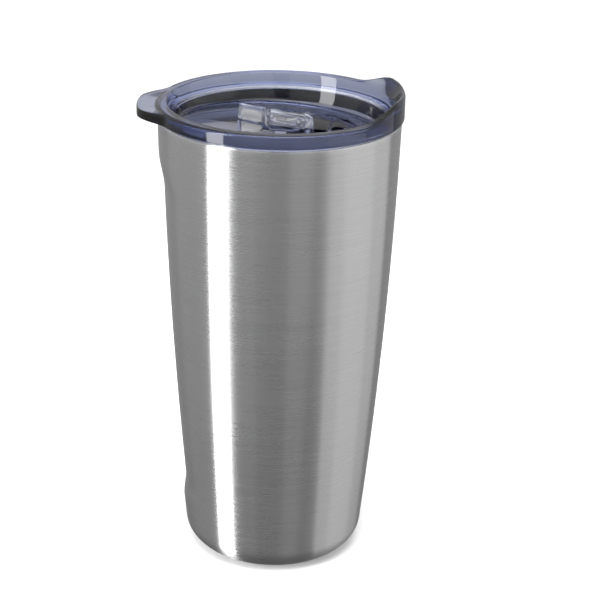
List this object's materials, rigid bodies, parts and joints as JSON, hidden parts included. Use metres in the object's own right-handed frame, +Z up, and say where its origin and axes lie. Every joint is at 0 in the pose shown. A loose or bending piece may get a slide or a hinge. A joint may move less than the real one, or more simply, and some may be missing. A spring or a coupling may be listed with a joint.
{
  "type": "insulated tumbler with lid",
  "caption": "Tapered double-wall steel drinking tumbler with a clear push-in lid that has a thumb tab, a raised spout and a sliding drink closure.",
  "frame": {"origin": "centre of the foot ring, on the table the tumbler stands on", "axes": "+Z up along the cup's axis, +X towards the lid's spout, -X towards the lid's thumb tab and the cup's grip recess"},
  "size_m": [0.0966, 0.0896, 0.18],
  "materials": {
    "shell_steel": "fine horizontal brushing, clear satin",
    "liner_steel": "electropolished satin",
    "base_steel": "stamped stainless, fine circular brushing",
    "copper": "bright rolled foil",
    "seal_metal": "fused solder bead",
    "getter_metal": "pressed powder, dull",
    "lid_clear": "clear smoke-blue moulding, polished",
    "slider_clear": "clear moulding, polished",
    "seal_silicone": "soft silicone, satin"
  },
  "bodies": {
    "cup": {"outer_shell": "shell_steel", "inner_liner": "liner_steel", "inner_base": "liner_steel", "outer_base": "base_steel", "base_cap": "base_steel", "copper_foil": "copper", "vacuum_seal": "seal_metal", "getter": "getter_metal", "getter_clip": "base_steel"},
    "lid": {"lid_body": "lid_clear", "lid_gasket": "seal_silicone"},
    "slider": {"slider": "slider_clear"}
  },
  "joints": [
    {"name": "lid_lift", "type": "slide", "parent": "cup", "child": "lid", "axis": [0, 0, 1], "range_m": [0, 0.03]},
    {"name": "slider_slide", "type": "slide", "parent": "lid", "child": "slider", "axis": [0.9987, 0, -0.0506], "range_m": [0, 0.0143]}
  ]
}
